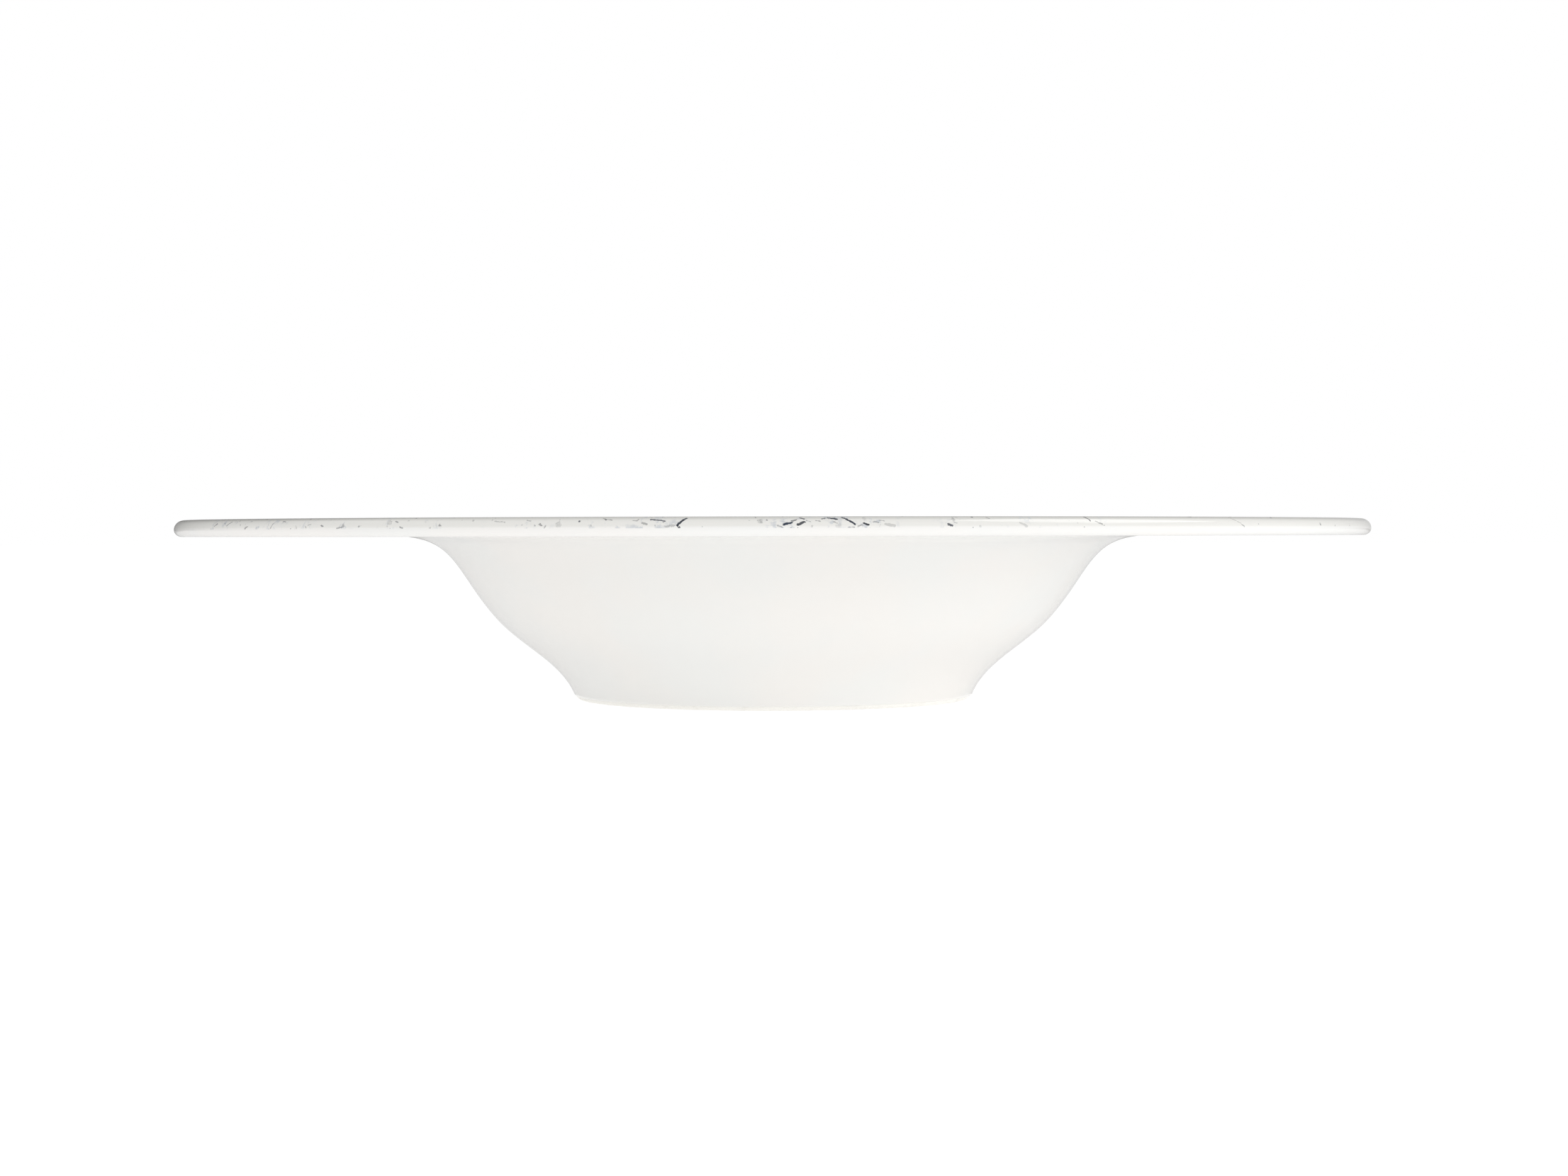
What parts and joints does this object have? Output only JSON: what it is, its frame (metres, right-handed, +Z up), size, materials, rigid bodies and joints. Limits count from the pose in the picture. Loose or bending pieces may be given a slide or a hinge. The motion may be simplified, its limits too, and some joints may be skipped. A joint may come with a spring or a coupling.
{
  "type": "deep plate",
  "caption": "Round white porcelain deep plate with a wide flat speckled rim, a curved bowl and a flared foot ring.",
  "frame": {"origin": "centre of the standing ring, on the surface that the plate stands on", "axes": "+Z up along the plate's axis, out of the well. The plate is round, so X and Y are level and otherwise free."},
  "size_m": [0.28, 0.28, 0.0427],
  "materials": {
    "bare_clay": "matte",
    "white_glaze": "gloss",
    "speckled_glaze": "gloss"
  },
  "bodies": {
    "root": {"porcelain_body": "bare_clay", "back_glaze": "white_glaze", "printed_rim_glaze": "speckled_glaze", "well_glaze": "white_glaze", "recess_glaze": "white_glaze"}
  },
  "joints": []
}
